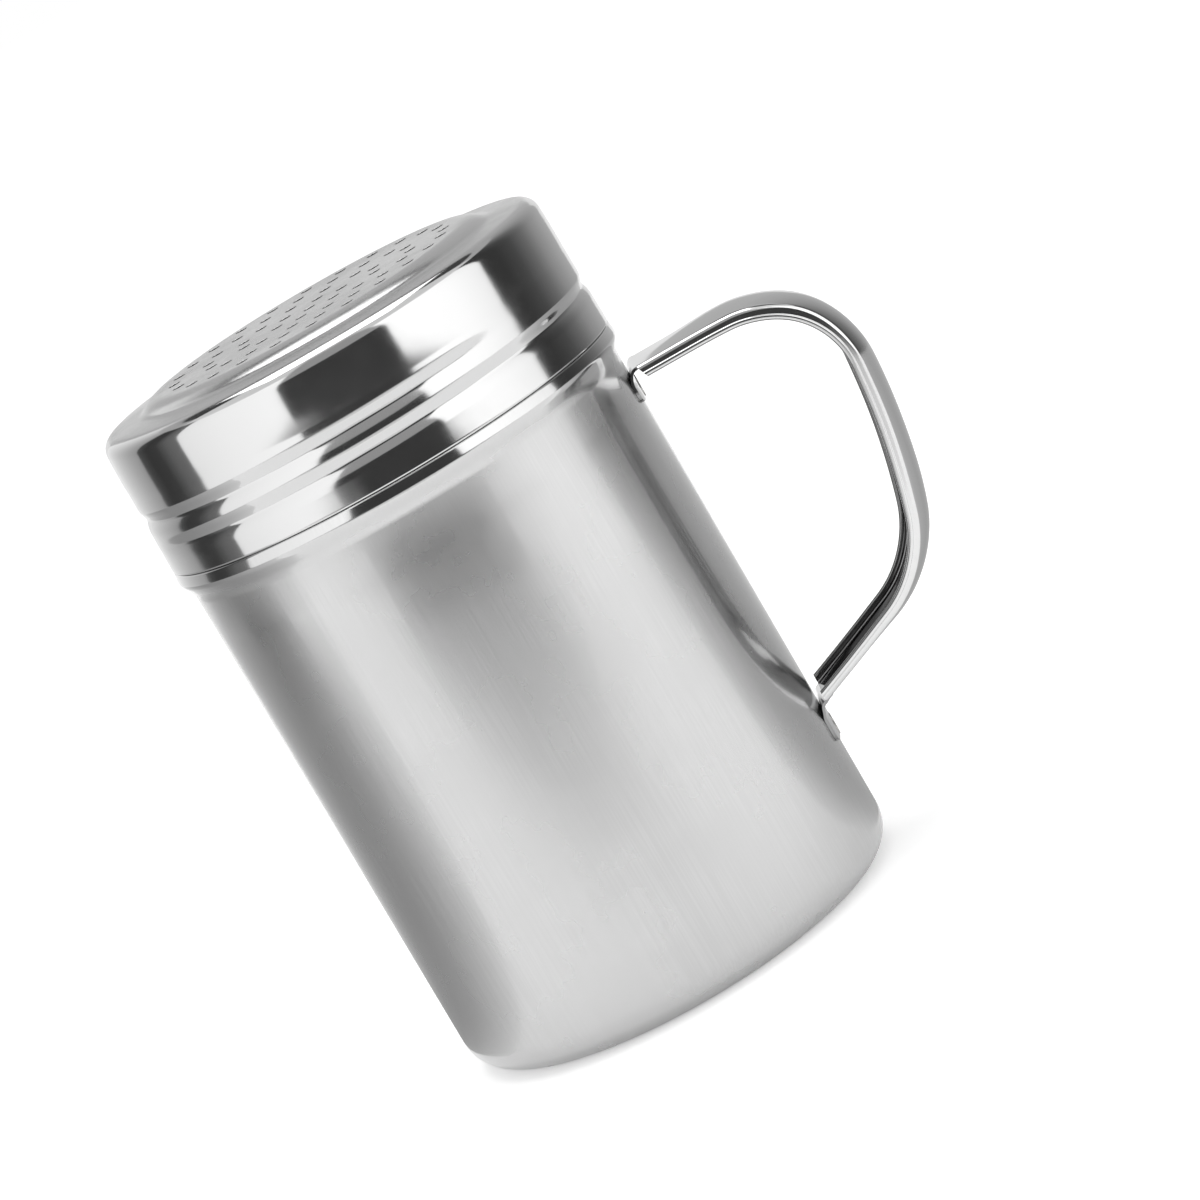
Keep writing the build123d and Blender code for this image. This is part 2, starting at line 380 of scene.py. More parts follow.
def hole_centres():
    """The middle hole and the rings of six, twelve and so on."""
    centres = [(0.0, 0.0)]
    for ring in range(1, HOLE_RINGS + 1):
        for k in range(6 * ring):
            angle = HOLE_START + TAU * k / (6 * ring)
            radius = ring * HOLE_RING_PITCH
            centres.append((radius * math.cos(angle), radius * math.sin(angle)))
    return centres


def circle_edges(bm, centre, radius, steps, height):
    """A circle of edges that lies on the disc's top, lowered by height."""
    turn = Matrix.Translation((centre[0], centre[1], 0))
    made = bmesh.ops.create_circle(bm, segments=steps, radius=radius, matrix=turn)
    for vert in made["verts"]:
        vert.co.z = disc_height(math.hypot(vert.co.x, vert.co.y)) - height
    return list({edge for vert in made["verts"] for edge in vert.link_edges})


def plate_side(bm, hole_radius, height):
    """One flat side of the perforated plate, and the edge loops of its holes."""
    rim = circle_edges(bm, (0, 0), PLATE_RADIUS, COLUMNS, height)
    loops = [circle_edges(bm, centre, hole_radius, HOLE_STEPS, height) for centre in hole_centres()]
    every_edge = rim + [edge for loop in loops for edge in loop]
    bmesh.ops.triangle_fill(bm, use_beauty=True, use_dissolve=False, edges=every_edge)
    return loops


def roll_hole(bm, loop, centre):
    """Carry a hole's upper edge down and inwards, over its rolled edge, to the underside."""
    step = math.pi / 2 / HOLE_ROLL_STEPS
    arc = [(math.sin(step * k), 1 - math.cos(step * k)) for k in range(HOLE_ROLL_STEPS + 1)]
    rows = [(HOLE_RADIUS + HOLE_ROLL * (1 - inwards), HOLE_ROLL * down) for inwards, down in arc]
    rows.append((HOLE_RADIUS, LID_SHEET))
    edges = loop
    for radius, drop in rows:
        made = bmesh.ops.extrude_edge_only(bm, edges=edges)["geom"]
        verts = [item for item in made if isinstance(item, bmesh.types.BMVert)]
        edges = [item for item in made if isinstance(item, bmesh.types.BMEdge)]
        for vert in verts:
            aside = Vector((vert.co.x - centre[0], vert.co.y - centre[1])).normalized()
            vert.co.x = centre[0] + aside.x * radius
            vert.co.y = centre[1] + aside.y * radius
            vert.co.z = disc_height(math.hypot(vert.co.x, vert.co.y)) - drop


def perforated_plate():
    """The middle of the disc with its sixty-one holes, as a mesh of its own."""
    bm = bmesh.new()
    loops = plate_side(bm, HOLE_RADIUS + HOLE_ROLL + HOLE_FLAT, 0)
    for loop, centre in zip(loops, hole_centres()):
        roll_hole(bm, loop, centre)
    plate_side(bm, HOLE_RADIUS, LID_SHEET)
    mesh = bpy.data.meshes.new("perforated_plate")
    bm.to_mesh(mesh)
    bm.free()
    return mesh


def lid_line():
    """The lid's outline: out over the top, down the skirt, round the hem and back inside."""
    sheet = LID_SHEET
    plate_top = disc_height(PLATE_RADIUS)
    return rounded_line(
        [
            (PLATE_RADIUS, plate_top, 0),
            (*DISC_EDGE, DISC_EDGE_ROUND),
            (*SLOPE_FOOT, SLOPE_FOOT_ROUND),
            (RIM_RADIUS, RIM_HEIGHT, RIM_ROUND),
            (HEM_RADIUS, HEM_BOTTOM, HEM_FOLD),
            (HEM_RADIUS - 2 * sheet, HEM_BOTTOM, HEM_FOLD),
            (HEM_RADIUS - 2 * sheet, HEM_TOP, SHARP_BEND),
            (HEM_RADIUS - sheet - HEM_GAP, HEM_TOP, 0),
            (RIM_RADIUS - sheet, RIM_HEIGHT - sheet, RIM_ROUND_INSIDE),
            (SLOPE_FOOT[0] - SLOPE_INSIDE_SHIFT, SLOPE_FOOT[1] - sheet, SLOPE_FOOT_ROUND_INSIDE),
            (DISC_EDGE[0] - SLOPE_INSIDE_SHIFT, DISC_EDGE[1] - sheet, DISC_EDGE_ROUND_INSIDE),
            (PLATE_RADIUS, plate_top - sheet, 0),
        ]
    )


def lid_rows(points):
    """Divide the lid's outline into rows, finely where the thread is."""
    rows = [points[0]]
    for start, end in zip(points, points[1:]):
        outside = start.x > HEM_RADIUS - LID_SHEET
        step = LID_TOP_STEP
        if abs(end.y - start.y) > TALL:
            step = LID_WALL_STEP if outside else LID_WALL_INSIDE_STEP
        rows += densified([start, end], step)[1:]
    return rows


def press_wall(bm):
    """Roll the thread into the lid's wall, and give the wall its belly and low waves."""
    for vert in bm.verts:
        x, y, z = vert.co
        if not HEM_TOP < z < RIM_HEIGHT - RIM_PLAIN:
            continue
        belly = max(0.0, 1 - ((z - BARREL_MIDDLE) / BARREL_REACH) ** 2)
        from_top = RIM_HEIGHT - RIM_PLAIN - z
        ends = smooth_step((z - HEM_TOP) / WAVE_EASE) * smooth_step(from_top / WAVE_EASE)
        wave = ends * sheet_wave(Vector((x, y, z)))
        groove = thread_share(math.atan2(y, x), z)
        shift_outwards(vert, WALL_BARREL * belly + SHEET_WAVE * wave - THREAD_DEPTH * groove)


def build_lid():
    """The pressed lid: hemmed skirt with its thread, rim, ring, slope and perforated disc."""
    bm = bmesh.new()
    spin_line(bm, lid_rows(lid_line()))
    press_wall(bm)
    plate = perforated_plate()
    bm.from_mesh(plate)
    bpy.data.meshes.remove(plate)
    return finish_mesh(bm, "lid_shell", LID_EDGE_ANGLE)


# ---------------------------------------------------------------- handle
def handle_place(distance):
    """A point of the handle's line and its heading, at a distance from the upper root."""
    x, z = HANDLE_START
    heading = 0.0
    for size, degrees in HANDLE_LINE:
        if degrees == 0:
            run = min(distance, size)
            x += math.cos(heading) * run
            z += math.sin(heading) * run
        else:
            run = min(distance, size * math.radians(degrees))
            middle_x = x + size * math.sin(heading)
            middle_z = z - size * math.cos(heading)
            heading -= run / size
            x = middle_x - size * math.sin(heading)
            z = middle_z + size * math.cos(heading)
        distance -= run
        if distance < 1e-9:
            break
    return x, z, heading


def handle_form(distance):
    """The corner, bow and crease at a distance, eased through the stations."""
    last = len(HANDLE_STATIONS) - 2
    index = max(k for k in range(last + 1) if k == 0 or HANDLE_STATIONS[k][0] <= distance)
    four = [HANDLE_STATIONS[min(max(k, 0), last + 1)] for k in range(index - 1, index + 3)]
    span = four[2][0] - four[1][0]
    share = (distance - four[1][0]) / span
    form = []
    for before, start, end, after in zip(four[0][1:], four[1][1:], four[2][1:], four[3][1:]):
        leaving = (end - before) * span / max(four[2][0] - four[0][0], 1e-6)
        arriving = (after - start) * span / max(four[3][0] - four[1][0], 1e-6)
        rest = 1 - share
        form.append(
            start * rest * rest * (1 + 2 * share)
            + end * share * share * (3 - 2 * share)
            + leaving * share * rest * rest
            - arriving * share * share * rest
        )
    return form


def half_section(corner, bow, crease):
    """One half of the strip's section from the middle out, round the hem and back inside."""
    half, sheet = STRIP_HALF_WIDTH, STRIP_SHEET
    foot = crease - HEM_HEIGHT
    hem_out = half + HEM_STAND_OUT
    hem_in = hem_out - HEM_WIDTH
    arch = [corner + bow * (1 - (k / WEB_STEPS) ** 2) for k in range(WEB_STEPS)]
    web = [(half * k / WEB_STEPS, out, 0) for k, out in enumerate(arch)]
    inside = [((half - sheet) * k / WEB_STEPS, out - sheet, 0) for k, out in enumerate(arch)]
    flange = [
        (half, corner, min(FLANGE_CORNER, corner - crease - CORNER_MARGIN)),
        (half, crease, CREASE_ROUND),
        (hem_out, crease - HEM_SHOULDER_DROP, HEM_SHOULDER_ROUND),
        (hem_out, foot, HEM_FOOT_ROUND),
        (hem_in, foot, HEM_FOOT_ROUND),
        (hem_in, crease - INNER_CREASE_DROP, INNER_CREASE_ROUND),
        (half - sheet, crease + INNER_CREASE_RISE, INNER_CREASE_ROUND),
        (half - sheet, corner - sheet, INNER_CORNER),
    ]
    return rounded_line(web + flange + inside[::-1], SECTION_ARC_STEPS)


def section_ring(distance, shift):
    """The closed section at a distance, each point shifted along the handle by its depth."""
    half = [(point.x, point.y) for point in half_section(*handle_form(distance))]
    ring = []
    for across, out in half + [(-across, out) for across, out in half[-2:0:-1]]:
        x, z, heading = handle_place(distance + shift(out))
        ring.append((x - math.sin(heading) * out, across, z + math.cos(heading) * out))
    return ring


def sweep_ring(bm, rings, painted_shade):
    """Extrude a closed ring from place to place, close its two ends and mark where shade is painted.
    """
    layer = bm.verts.layers.float.get("painted_shade") or bm.verts.layers.float.new("painted_shade")
    verts = [bm.verts.new(place) for place in rings[0]]
    edges = [bm.edges.new((verts[k - 1], verts[k])) for k in range(len(verts))]
    bmesh.ops.triangle_fill(bm, use_beauty=True, use_dissolve=False, edges=edges)
    for k, vert in enumerate(verts):
        vert[layer] = painted_shade(0, k)
    for row, places in enumerate(rings[1:], 1):
        made = bmesh.ops.extrude_edge_only(bm, edges=edges)["geom"]
        fresh = {item for item in made if isinstance(item, bmesh.types.BMVert)}
        partner = {}
        for vert in fresh:
            for edge in vert.link_edges:
                if edge.other_vert(vert) not in fresh:
                    partner[edge.other_vert(vert)] = vert
        verts = [partner[vert] for vert in verts]
        edges = [e for e in made if isinstance(e, bmesh.types.BMEdge) and set(e.verts) <= fresh]
        for k, (vert, place) in enumerate(zip(verts, places)):
            vert.co = place
            vert[layer] = painted_shade(row, k)
    bmesh.ops.triangle_fill(bm, use_beauty=True, use_dissolve=False, edges=edges)


def end_shift(distance, first, last):
    """How far a section's points are shifted along the handle near its two slanted ends."""
    if distance < SLANT_RUN:
        share = (SLANT_RUN - distance) / (SLANT_RUN - first)
        return lambda out: share * UPPER_SLANT * max(0.0, -out - UPPER_SLANT_DEPTH)
    if distance > last - SLANT_RUN:
        share = (distance - last + SLANT_RUN) / SLANT_RUN
        return lambda out: share * LOWER_SLANT * (out + LOWER_SLANT_DEPTH)
    return lambda out: 0.0


def build_channel(bm):
    """The bowed web and its two hemmed flanges, from end to end."""
    first = UPPER_SETBACK
    last = HANDLE_LENGTH - LOWER_SETBACK
    stops = [first + (last - first) * k / HANDLE_STEPS for k in range(HANDLE_STEPS + 1)]
    # Painted shade: the hems' undersides and inner sides and the channel's inside are marked to be
    # coloured dark.
    half = [0.0 if k < POINTS_WITHOUT_SHADE else 1.0 for k in range(SECTION_POINTS)]
    painted_shade = half + half[-2:0:-1]
    rings = [section_ring(stop, end_shift(stop, first, last)) for stop in stops]
    sweep_ring(bm, rings, lambda row, k: painted_shade[k])


def build_tab(bm, wall_side, strip_side):
    """A tab: the strip's end folded down and curved to the cup's wall."""
    sides = ((wall_side, FOLD_RADIUS + TAB_SHEET), (strip_side, FOLD_RADIUS))
    outer, inner = (
        densified(rounded_line([(*start, 0), (*fold, radius), (*foot, 0)]), TAB_STEP)
        for (start, fold, foot), radius in sides
    )
    bend_height = wall_side[1][1]
    foot_height = wall_side[2][1]
    rings = []
    for k in range(-TAB_COLUMNS, TAB_COLUMNS + 1):
        ring = []
        for point in outer + inner[::-1]:
            left = max(0.0, (foot_height + TAB_CORNER - point.y) / TAB_CORNER)
            inset = TAB_CORNER * (1 - math.sqrt(max(0.0, 1 - left * left)))
            hidden = TAB_TONGUE_INSET * smooth_step((point.x - TAB_TONGUE_START) / TAB_TONGUE_EASE)
            across = (STRIP_HALF_WIDTH - TAB_SIDE_GAP - inset - hidden) * k / TAB_COLUMNS
            curve = CUP_RADIUS - math.sqrt(CUP_RADIUS ** 2 - across ** 2)
            pressed = smooth_step((bend_height - TAB_PRESS_START - point.y) / TAB_PRESS_RUN)
            ring.append((point.x - curve * pressed, across, point.y))
        rings.append(ring)
    # Painted shade: the tab's two side edges are marked to be coloured dark.
    sweep_ring(bm, rings, lambda row, k: 1.0 if row in (0, 2 * TAB_COLUMNS) else 0.0)


def build_handle():
    """The handle: a bowed strip with two hemmed flanges and a tab at each end."""
    bm = bmesh.new()
    build_channel(bm)
    build_tab(bm, *UPPER_TAB)
    build_tab(bm, *LOWER_TAB)
    return finish_mesh(bm, "handle_strip", HANDLE_EDGE_ANGLE)


# ---------------------------------------------------------------- material helpers
def group_tree(name, inputs, outputs):
    """A new node group with float or vector sockets, and its input and output nodes."""
    tree = bpy.data.node_groups.new(name, "ShaderNodeTree")
    for socket, kind, value in inputs:
        made = tree.interface.new_socket(socket, in_out="INPUT", socket_type=kind)
        if value is not None:
            made.default_value = value
    for socket, kind in outputs:
        tree.interface.new_socket(socket, in_out="OUTPUT", socket_type=kind)
    return tree, tree.nodes.new("NodeGroupInput"), tree.nodes.new("NodeGroupOutput")


def add_node(tree, kind, **settings):
    """A node with its properties set."""
    node = tree.nodes.new(kind)
    for key, value in settings.items():
        setattr(node, key, value)
    return node


def math_node(tree, operation, first, second=None):
    """A math node fed by links or plain numbers."""
    node = add_node(tree, "ShaderNodeMath", operation=operation)
    for index, value in enumerate((first, second)):
        if value is None:
            continue
        if isinstance(value, (int, float)):
            node.inputs[index].default_value = value
        else:
            tree.links.new(value, node.inputs[index])
    return node.outputs[0]


def ramp(tree, value, low, high, to_low=0.0, to_high=1.0, smooth=True):
    """Map a value from one range to another, clamped."""
    node = add_node(tree, "ShaderNodeMapRange", clamp=True)
    node.interpolation_type = "SMOOTHSTEP" if smooth else "LINEAR"
    tree.links.new(value, node.inputs["Value"])
    limits = {"From Min": low, "From Max": high, "To Min": to_low, "To Max": to_high}
    for socket, number in limits.items():
        if isinstance(number, (int, float)):
            node.inputs[socket].default_value = number
        else:
            tree.links.new(number, node.inputs[socket])
    return node.outputs["Result"]


def noise_texture(tree, vector, scale, detail=2.0, rough=0.5):
    """Fractal noise at a scale in features per metre."""
    node = add_node(tree, "ShaderNodeTexNoise")
    tree.links.new(vector, node.inputs["Vector"])
    node.inputs["Scale"].default_value = scale
    node.inputs["Detail"].default_value = detail
    node.inputs["Roughness"].default_value = rough
    return node.outputs["Fac"]


def stretched(tree, vector, scale):
    """A vector scaled by different amounts along X, Y and Z."""
    node = add_node(tree, "ShaderNodeMapping")
    tree.links.new(vector, node.inputs["Vector"])
    node.inputs["Scale"].default_value = scale
    return node.outputs["Vector"]


def make_draw_marks():
    """Short fine lines along Z, as the drawing die leaves them: a height and a mask."""
    tree, start, end = group_tree(
        "draw marks",
        [("Vector", "NodeSocketVector", None), ("Cover", "NodeSocketFloat", 0.5)],
        [("Height", "NodeSocketFloat"), ("Mask", "NodeSocketFloat")],
    )
    vector = start.outputs["Vector"]
    fine = noise_texture(tree, stretched(tree, vector, (3600, 3600, 50)), 1.0, 2.0, 0.6)
    broad = noise_texture(tree, stretched(tree, vector, (900, 900, 22)), 1.0, 1.0, 0.5)
    patches = noise_texture(tree, vector, 70, 2.0, 0.6)
    lines = ramp(tree, fine, 0.36, 0.66)
    held = math_node(tree, "MULTIPLY", lines, ramp(tree, patches, 0.38, 0.62, 0.25, 1.0))
    mask = math_node(tree, "MULTIPLY", held, start.outputs["Cover"])
    tree.links.new(broad, end.inputs["Height"])
    tree.links.new(mask, end.inputs["Mask"])
    return tree


def make_handling_haze():
    """Cloudy variation from handling and washing, between two values."""
    tree, start, end = group_tree(
        "handling haze",
        [
            ("Vector", "NodeSocketVector", None),
            ("Low", "NodeSocketFloat", 0.1),
            ("High", "NodeSocketFloat", 0.2),
        ],
        [("Value", "NodeSocketFloat")],
    )
    vector = start.outputs["Vector"]
    clouds = noise_texture(tree, vector, 45, 4.0, 0.62)
    value = ramp(tree, clouds, 0.36, 0.72, start.outputs["Low"], start.outputs["High"])
    tree.links.new(value, end.inputs["Value"])
    return tree


def make_press_grain():
    """The fine even grain of a tumbled pressing: a height."""
    tree, start, end = group_tree(
        "press grain",
        [("Vector", "NodeSocketVector", None)],
        [("Height", "NodeSocketFloat")],
    )
    vector = start.outputs["Vector"]
    fine = noise_texture(tree, vector, 5200, 3.0, 0.6)
    coarse = noise_texture(tree, vector, 1300, 2.0, 0.5)
    height = math_node(tree, "ADD", fine, math_node(tree, "MULTIPLY", coarse, 0.6))
    tree.links.new(height, end.inputs["Height"])
    return tree


DRAW_MARKS = make_draw_marks()
HANDLING_HAZE = make_handling_haze()
PRESS_GRAIN = make_press_grain()


def place_group(tree, group, vector, **values):
    """Place a node group fed by the coordinates and its own values."""
    node = add_node(tree, "ShaderNodeGroup", node_tree=group)
    tree.links.new(vector, node.inputs["Vector"])
    for name, value in values.items():
        if isinstance(value, (int, float)):
            node.inputs[name].default_value = value
        else:
            tree.links.new(value, node.inputs[name])
    return node


def start_material(name):
    """A material with its tree, its Principled node, and object coordinates."""
    material = bpy.data.materials.new(name)
    material.use_nodes = True
    tree = material.node_tree
    shader = tree.nodes["Principled BSDF"]
    shader.inputs["Metallic"].default_value = 1.0
    coordinates = add_node(tree, "ShaderNodeTexCoord").outputs["Object"]
    return material, tree, shader, coordinates


def bump(tree, height, strength, distance):
    """The normal of a bump with a strength and a depth in metres."""
    node = add_node(tree, "ShaderNodeBump")
    node.inputs["Strength"].default_value = strength
    node.inputs["Distance"].default_value = distance
    tree.links.new(height, node.inputs["Height"])
    return node.outputs["Normal"]


def grey(level):
    """A neutral colour."""
    return (level, level, level)


def colour_between(tree, share, low, high):
    """A colour mixed from two by a share."""
    node = add_node(tree, "ShaderNodeMix", data_type="RGBA")
    tree.links.new(share, node.inputs["Factor"])
    node.inputs["A"].default_value = (*low, 1)
    node.inputs["B"].default_value = (*high, 1)
    return node.outputs["Result"]


# ---------------------------------------------------------------- steel finishes
def satin_cup_steel():
    """Drawn stainless steel: a satin wall with fine upright marks under a clear sheen."""
    material, tree, shader, place = start_material("satin_cup_steel")
    marks = place_group(tree, DRAW_MARKS, place, Cover=1.0)
    haze = place_group(tree, HANDLING_HAZE, place, Low=0.24, High=0.34)
    height = add_node(tree, "ShaderNodeSeparateXYZ")
    tree.links.new(place, height.inputs["Vector"])
    bead = ramp(tree, height.outputs["Z"], WALL_HEIGHT * MM, BEAD_FLARE_HEIGHT * MM, 1.0, 0.4)
    roughness = math_node(tree, "MULTIPLY", haze.outputs["Value"], bead)
    colour = colour_between(tree, marks.outputs["Mask"], grey(0.585), grey(0.615))
    shader.inputs["Coat Weight"].default_value = 1.0
    shader.inputs["Coat Roughness"].default_value = 0.07
    shader.inputs["Coat IOR"].default_value = 1.9
    tree.links.new(colour, shader.inputs["Base Color"])
    tree.links.new(roughness, shader.inputs["Roughness"])
    normal = bump(tree, marks.outputs["Height"], 0.06, 0.00002)
    tree.links.new(normal, shader.inputs["Normal"])
    return material


def hole_walls_dull_and_shaded(tree, place):
    """Where the plate is below its upper face: 1 inside the punched holes, 0 elsewhere. It dulls the
    holes' walls and paints them dark as shade.
    """
    parts = add_node(tree, "ShaderNodeSeparateXYZ")
    tree.links.new(place, parts.inputs["Vector"])
    across = math_node(tree, "MULTIPLY", parts.outputs["X"], parts.outputs["X"])
    along = math_node(tree, "MULTIPLY", parts.outputs["Y"], parts.outputs["Y"])
    radius = math_node(tree, "SQRT", math_node(tree, "ADD", across, along))
    dish = (DISC_EDGE[1] - DISC_MIDDLE_HEIGHT) / DISC_EDGE[0]
    rise = math_node(tree, "MULTIPLY", radius, dish)
    below = math_node(tree, "SUBTRACT", rise, parts.outputs["Z"])
    deep = ramp(tree, below, (0.03 - DISC_MIDDLE_HEIGHT) * MM, (0.12 - DISC_MIDDLE_HEIGHT) * MM)
    inside = ramp(tree, radius, (PLATE_RADIUS - 0.1) * MM, PLATE_RADIUS * MM, 1.0, 0.0)
    return math_node(tree, "MULTIPLY", deep, inside)


def polished_lid_steel():
    """Polished steel on the skirt and rim, tumbled to an even grain on the top, with the holes' walls
    dulled and painted dark as shade.
    """
    material, tree, shader, place = start_material("polished_lid_steel")
    haze = place_group(tree, HANDLING_HAZE, place, Low=0.08, High=0.17)
    grain = place_group(tree, PRESS_GRAIN, place)
    marks = place_group(tree, DRAW_MARKS, place)
    height = add_node(tree, "ShaderNodeSeparateXYZ")
    tree.links.new(place, height.inputs["Vector"])
    top = ramp(tree, height.outputs["Z"], (RIM_HEIGHT - 0.35) * MM, (RIM_HEIGHT + 0.15) * MM)
    matte = ramp(tree, top, 0.0, 1.0, 0.0, 0.12, smooth=False)
    hole_shade_and_dullness = hole_walls_dull_and_shaded(tree, place)
    dull_and_shaded = math_node(tree, "MULTIPLY", hole_shade_and_dullness, 0.5)
    roughness = math_node(tree, "ADD", math_node(tree, "ADD", haze.outputs["Value"], matte), dull_and_shaded)
    face = colour_between(tree, haze.outputs["Value"], grey(0.66), grey(0.58))
    # Painted shade: the holes' walls are coloured nearly black.
    colour = add_node(tree, "ShaderNodeMix", data_type="RGBA")
    tree.links.new(hole_shade_and_dullness, colour.inputs["Factor"])
    tree.links.new(face, colour.inputs["A"])
    colour.inputs["B"].default_value = (*grey(0.05), 1)
    grain_height = math_node(tree, "MULTIPLY", grain.outputs["Height"], top)
    mark_height = math_node(tree, "MULTIPLY", marks.outputs["Height"], 0.25)
    both = math_node(tree, "ADD", grain_height, mark_height)
    tree.links.new(colour.outputs["Result"], shader.inputs["Base Color"])
    tree.links.new(roughness, shader.inputs["Roughness"])
    normal = bump(tree, both, 0.3, 0.00002)
    tree.links.new(normal, shader.inputs["Normal"])
    return material


def polished_handle_steel():
    """Polished rolled strip, with painted shade darkening its hems, the inside of its channel and the
    tabs' side edges.
    """
    material, tree, shader, place = start_material("polished_handle_steel")
    haze = place_group(tree, HANDLING_HAZE, place, Low=0.07, High=0.13)
    grain = place_group(tree, PRESS_GRAIN, place)
    # The painted shade is read from the strip's mesh and mixes the colour towards dark grey.
    dull_and_shaded = add_node(tree, "ShaderNodeAttribute", attribute_name="painted_shade").outputs["Fac"]
    face = colour_between(tree, haze.outputs["Value"], grey(0.76), grey(0.70))
    colour = add_node(tree, "ShaderNodeMix", data_type="RGBA")
    tree.links.new(dull_and_shaded, colour.inputs["Factor"])
    tree.links.new(face, colour.inputs["A"])
    colour.inputs["B"].default_value = (*grey(0.30), 1)
    tree.links.new(colour.outputs["Result"], shader.inputs["Base Color"])
    tree.links.new(haze.outputs["Value"], shader.inputs["Roughness"])
    normal = bump(tree, grain.outputs["Height"], 0.02, 0.00002)
    tree.links.new(normal, shader.inputs["Normal"])
    return material


def fused_weld_steel():
    """The dull, slightly heat-tinted face of a spot weld."""
    material, tree, shader, place = start_material("fused_weld_steel")
    haze = place_group(tree, HANDLING_HAZE, place, Low=0.30, High=0.45)
    grain = place_group(tree, PRESS_GRAIN, place)
    colour = colour_between(tree, grain.outputs["Height"], (0.42, 0.40, 0.37), (0.56, 0.55, 0.54))
    tree.links.new(colour, shader.inputs["Base Color"])
    tree.links.new(haze.outputs["Value"], shader.inputs["Roughness"])
    normal = bump(tree, grain.outputs["Height"], 0.4, 0.00003)
    tree.links.new(normal, shader.inputs["Normal"])
    return material


# ---------------------------------------------------------------- studio
# Cards that only the metal sees: from and to azimuth in degrees, radius, foot and top in metres,
# how much narrower the top is than the foot, and how brightly the card glows from end to end.
STANDING_CARDS = {
    "camera_side_card": (-30, 27, 0.50, 0.0, 0.24, 0.94, (0.05, 0.05)),
    "camera_upper_card": (-28, 25.5, 0.50, 0.24, 1.10, 0.70, (0.40, 0.40)),
    "front_strip": (
        -68, 64, 0.503, 0.0, 0.045, 0.46,
        (1.2, 0.6, 0.25, 0.06, 0.05, 0.05, 0.05, 0.07, 0.9),
    ),
    "left_bright_card": (-86, -2, 0.51, 0.0, 0.50, 1.0, (1.15, 1.3, 1.4, 1.45)),
    "right_bright_card": (2, 82, 0.51, 0.0, 0.50, 1.0, (1.5, 1.6, 1.6, 1.5, 1.3)),
    "left_dark_card": (-118, -86, 0.50, 0.0, 0.50, 1.0, (0.10, 0.05, 0.06, 0.16, 0.20)),
    "left_grey_card": (-160, -118, 0.50, 0.0, 0.50, 1.0, (1.0, 0.86, 0.7, 0.55, 0.42)),
    "right_dark_card": (82, 156, 0.50, 0.0, 0.50, 1.0, (0.05, 0.05, 0.09, 0.2, 0.36, 0.45, 0.5)),
    "back_grey_card": (100, 260, 0.90, 0.24, 1.05, 1.0, (0.5, 0.52, 0.5)),
    "back_dark_card": (100, 260, 0.89, 1.05, 2.0, 1.0, (0.07, 0.07)),
}
# Cards that lie on the table: from and to azimuth, the radius at the first and at the second edge,
# how much narrower the second edge is, and glow.
LYING_CARDS = {
    "front_far_card": (-33, 30, 0.50, 0.42, 1.0, (0.3, 0.12, 0.12, 0.12, 0.3)),
    "front_lying_card": (-44, 42, 0.42, 0.20, 0.25, (0.95, 0.85, 0.8, 0.8, 0.85, 0.95)),
    "left_lying_card": (-156, -70, 0.040, 0.50, 1.0, (0.8, 0.48, 0.34, 0.34, 0.42, 0.6, 0.85)),
    "right_lying_card": (84, 160, 0.040, 0.50, 1.0, (0.8, 0.5, 0.42, 0.45, 0.52, 0.7)),
}
CARD_LIFT = 0.0005              # above the table
CARD_STEPS = 32
# Softboxes: azimuth, elevation, distance, width and height in metres, how bright the face is, and
# whether the metal shows it.
SOFTBOXES = {
    "top_softbox": (180, 84, 0.9, 0.7, 0.7, 2.2, True),
    "right_softbox": (61, 12, 1.1, 0.5, 0.7, 1.6, False),
    "left_softbox": (-65, 12, 1.1, 0.5, 0.7, 1.3, False),
}
SOFTBOX_AIM_HEIGHT = 0.05
FLOOR_REACH = 6.0


def white_for_background(name, plain_colour, seen, reflected):
    """A diffuse material that the camera and the metal see at set levels, with its shadows."""
    material = bpy.data.materials.new(name)
    material.use_nodes = True
    tree = material.node_tree
    tree.nodes.clear()
    out = add_node(tree, "ShaderNodeOutputMaterial")
    diffuse = add_node(tree, "ShaderNodeBsdfDiffuse")
    diffuse.inputs["Color"].default_value = (*plain_colour, 1)
    glow = add_node(tree, "ShaderNodeEmission")
    path = add_node(tree, "ShaderNodeLightPath")
    for_camera = math_node(tree, "MULTIPLY", path.outputs["Is Camera Ray"], seen)
    mirrored, through = path.outputs["Is Glossy Ray"], path.outputs["Is Transmission Ray"]
    in_metal = math_node(tree, "MAXIMUM", mirrored, through)
    for_metal = math_node(tree, "MULTIPLY", in_metal, reflected)
    tree.links.new(math_node(tree, "ADD", for_camera, for_metal), glow.inputs["Strength"])
    both = add_node(tree, "ShaderNodeAddShader")
    tree.links.new(diffuse.outputs[0], both.inputs[0])
    tree.links.new(glow.outputs[0], both.inputs[1])
    tree.links.new(both.outputs[0], out.inputs["Surface"])
    return material


def make_card_glow():
    """The glow of every card, read from the card's own mesh."""
    material = bpy.data.materials.new("card_glow")
    material.use_nodes = True
    tree = material.node_tree
    tree.nodes.clear()
    glow = add_node(tree, "ShaderNodeEmission")
    level = add_node(tree, "ShaderNodeAttribute", attribute_name="glow")
    tree.links.new(level.outputs["Fac"], glow.inputs["Strength"])
    out = add_node(tree, "ShaderNodeOutputMaterial")
    tree.links.new(glow.outputs[0], out.inputs["Surface"])
    return material


CARD_GLOW = make_card_glow()


def level_at(levels, share):
    """Read evenly spaced levels at a share of their length."""
    place = min(max(share, 0.0), 1.0) * (len(levels) - 1)
    index = min(int(place), len(levels) - 2)
    return levels[index] + (levels[index + 1] - levels[index]) * (place - index)


